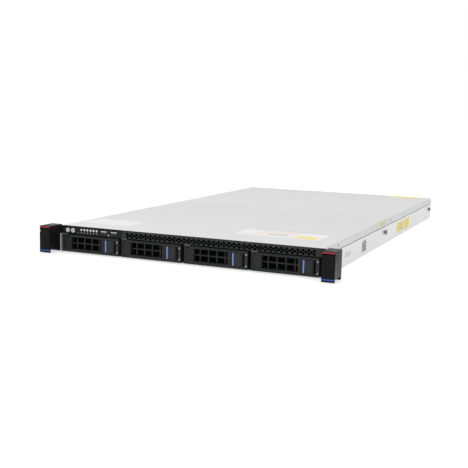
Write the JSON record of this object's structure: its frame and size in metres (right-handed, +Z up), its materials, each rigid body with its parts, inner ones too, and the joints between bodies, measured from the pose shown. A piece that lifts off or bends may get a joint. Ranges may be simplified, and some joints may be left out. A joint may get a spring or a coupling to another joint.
{
  "type": "rack server",
  "caption": "Flat rack-mount server with sliding front drive trays, hexagonal grille, latch ears, two-part lid and slide-out rear power supplies.",
  "frame": {"origin": "centre of the chassis underside, in the plane of the rack rails' front face, where the ears meet them", "axes": "+Z up, +Y from the front bezel to the rear, +X to the right seen from the front"},
  "size_m": [0.482, 0.8354, 0.043],
  "materials": {
    "zinc_steel": "zinc-coated sheet",
    "lid_steel": "zinc-coated sheet, fine grain",
    "stud_steel": "turned",
    "cage_steel": "zinc-coated sheet",
    "bezel_black": "fine moulded texture",
    "button_grey": "moulded",
    "lamp_lens": "clear moulded light pipe",
    "port_steel": "nickel-plated",
    "ear_black": "fine moulded texture",
    "board_green": "solder resist",
    "fan_black": "moulded",
    "sink_aluminium": "extruded",
    "module_green": "solder resist",
    "baffle_black": "formed sheet",
    "tray_black": "moulded",
    "handle_black": "moulded",
    "latch_black": "moulded",
    "drive_aluminium": "cast and machined",
    "supply_steel": "zinc-coated sheet",
    "catch_orange": "moulded"
  },
  "bodies": {
    "chassis": {"chassis_base": "zinc_steel", "front_cover": "lid_steel", "rail_studs": "stud_steel", "drive_cage": "cage_steel", "grille_bezel": "bezel_black", "control_panel": "bezel_black", "control_board": "board_green", "status_lights": "lamp_lens", "front_ports": "port_steel", "right_ear": "ear_black", "left_ear": "ear_black", "rack_screws": "stud_steel", "backplane": "board_green", "fan_partition": "cage_steel", "fan_frames": "fan_black", "system_board": "board_green", "cpu_heatsinks": "sink_aluminium", "memory_modules": "module_green", "air_baffle": "baffle_black", "riser_card": "board_green", "power_board": "board_green", "supply_bay": "cage_steel", "rear_ports": "port_steel", "slot_covers": "cage_steel"},
    "rear_cover": {"rear_cover": "lid_steel"},
    "power_button": {"power_button": "button_grey"},
    "id_button": {"id_button": "button_grey"},
    "right_lever": {"right_ear_lever": "ear_black"},
    "left_lever": {"left_ear_lever": "ear_black"},
    "tray_1": {"tray_1": "tray_black", "tray_lights_1": "lamp_lens", "drive_1": "drive_aluminium"},
    "handle_1": {"tray_handle_1": "handle_black"},
    "latch_1": {"tray_latch_1": "latch_black"},
    "tray_2": {"tray_2": "tray_black", "tray_lights_2": "lamp_lens", "drive_2": "drive_aluminium"},
    "handle_2": {"tray_handle_2": "handle_black"},
    "latch_2": {"tray_latch_2": "latch_black"},
    "tray_3": {"tray_3": "tray_black", "tray_lights_3": "lamp_lens", "drive_3": "drive_aluminium"},
    "handle_3": {"tray_handle_3": "handle_black"},
    "latch_3": {"tray_latch_3": "latch_black"},
    "tray_4": {"tray_4": "tray_black", "tray_lights_4": "lamp_lens", "drive_4": "drive_aluminium"},
    "handle_4": {"tray_handle_4": "handle_black"},
    "latch_4": {"tray_latch_4": "latch_black"},
    "supply_1": {"supply_1": "supply_steel"},
    "catch_1": {"supply_catch_1": "catch_orange"},
    "supply_2": {"supply_2": "supply_steel"},
    "catch_2": {"supply_catch_2": "catch_orange"},
    "fan_1": {"fan_rotor_1": "fan_black"},
    "fan_2": {"fan_rotor_2": "fan_black"},
    "fan_3": {"fan_rotor_3": "fan_black"},
    "fan_4": {"fan_rotor_4": "fan_black"}
  },
  "joints": [
    {"name": "rear_cover_slide", "type": "slide", "parent": "chassis", "child": "rear_cover", "axis": [0, 1, 0], "range_m": [0, 0.012]},
    {"name": "power_button_press", "type": "slide", "parent": "chassis", "child": "power_button", "axis": [0, 1, 0], "range_m": [0, 0.001], "stiffness_N_per_m": 400},
    {"name": "id_button_press", "type": "slide", "parent": "chassis", "child": "id_button", "axis": [0, 1, 0], "range_m": [0, 0.001], "stiffness_N_per_m": 400},
    {"name": "right_lever_swing", "type": "hinge", "parent": "chassis", "child": "right_lever", "pos_m": [0.2315, -0.0308, 0.037], "axis": [-1, 0, 0], "range_deg": [0, 80], "stiffness_Nm_per_rad": 0.02},
    {"name": "left_lever_swing", "type": "hinge", "parent": "chassis", "child": "left_lever", "pos_m": [-0.2315, -0.0308, 0.037], "axis": [-1, 0, 0], "range_deg": [0, 80], "stiffness_Nm_per_rad": 0.02},
    {"name": "tray_1_slide", "type": "slide", "parent": "chassis", "child": "tray_1", "axis": [0, -1, 0], "range_m": [0, 0.17]},
    {"name": "handle_1_swing", "type": "hinge", "parent": "tray_1", "child": "handle_1", "pos_m": [-0.211, -0.0072, 0.0155], "axis": [0, 0, -1], "range_deg": [0, 75]},
    {"name": "latch_1_slide", "type": "slide", "parent": "tray_1", "child": "latch_1", "axis": [1, 0, 0], "range_m": [0, 0.0025], "stiffness_N_per_m": 200},
    {"name": "tray_2_slide", "type": "slide", "parent": "chassis", "child": "tray_2", "axis": [0, -1, 0], "range_m": [0, 0.17]},
    {"name": "handle_2_swing", "type": "hinge", "parent": "tray_2", "child": "handle_2", "pos_m": [-0.1034, -0.0072, 0.0155], "axis": [0, 0, -1], "range_deg": [0, 75]},
    {"name": "latch_2_slide", "type": "slide", "parent": "tray_2", "child": "latch_2", "axis": [1, 0, 0], "range_m": [0, 0.0025], "stiffness_N_per_m": 200},
    {"name": "tray_3_slide", "type": "slide", "parent": "chassis", "child": "tray_3", "axis": [0, -1, 0], "range_m": [0, 0.17]},
    {"name": "handle_3_swing", "type": "hinge", "parent": "tray_3", "child": "handle_3", "pos_m": [0.0042, -0.0072, 0.0155], "axis": [0, 0, -1], "range_deg": [0, 75]},
    {"name": "latch_3_slide", "type": "slide", "parent": "tray_3", "child": "latch_3", "axis": [1, 0, 0], "range_m": [0, 0.0025], "stiffness_N_per_m": 200},
    {"name": "tray_4_slide", "type": "slide", "parent": "chassis", "child": "tray_4", "axis": [0, -1, 0], "range_m": [0, 0.17]},
    {"name": "handle_4_swing", "type": "hinge", "parent": "tray_4", "child": "handle_4", "pos_m": [0.1118, -0.0072, 0.0155], "axis": [0, 0, -1], "range_deg": [0, 75]},
    {"name": "latch_4_slide", "type": "slide", "parent": "tray_4", "child": "latch_4", "axis": [1, 0, 0], "range_m": [0, 0.0025], "stiffness_N_per_m": 200},
    {"name": "supply_1_slide", "type": "slide", "parent": "chassis", "child": "supply_1", "axis": [0, 1, 0], "range_m": [0, 0.19]},
    {"name": "catch_1_slide", "type": "slide", "parent": "supply_1", "child": "catch_1", "axis": [1, 0, 0], "range_m": [0, 0.003], "stiffness_N_per_m": 200},
    {"name": "supply_2_slide", "type": "slide", "parent": "chassis", "child": "supply_2", "axis": [0, 1, 0], "range_m": [0, 0.19]},
    {"name": "catch_2_slide", "type": "slide", "parent": "supply_2", "child": "catch_2", "axis": [1, 0, 0], "range_m": [0, 0.003], "stiffness_N_per_m": 200},
    {"name": "fan_1_spin", "type": "hinge", "parent": "chassis", "child": "fan_1", "pos_m": [-0.16087, 0.233, 0.0215], "axis": [0, 1, 0], "continuous": true},
    {"name": "fan_2_spin", "type": "hinge", "parent": "chassis", "child": "fan_2", "pos_m": [-0.05362, 0.233, 0.0215], "axis": [0, 1, 0], "continuous": true},
    {"name": "fan_3_spin", "type": "hinge", "parent": "chassis", "child": "fan_3", "pos_m": [0.05362, 0.233, 0.0215], "axis": [0, 1, 0], "continuous": true},
    {"name": "fan_4_spin", "type": "hinge", "parent": "chassis", "child": "fan_4", "pos_m": [0.16087, 0.233, 0.0215], "axis": [0, 1, 0], "continuous": true}
  ]
}
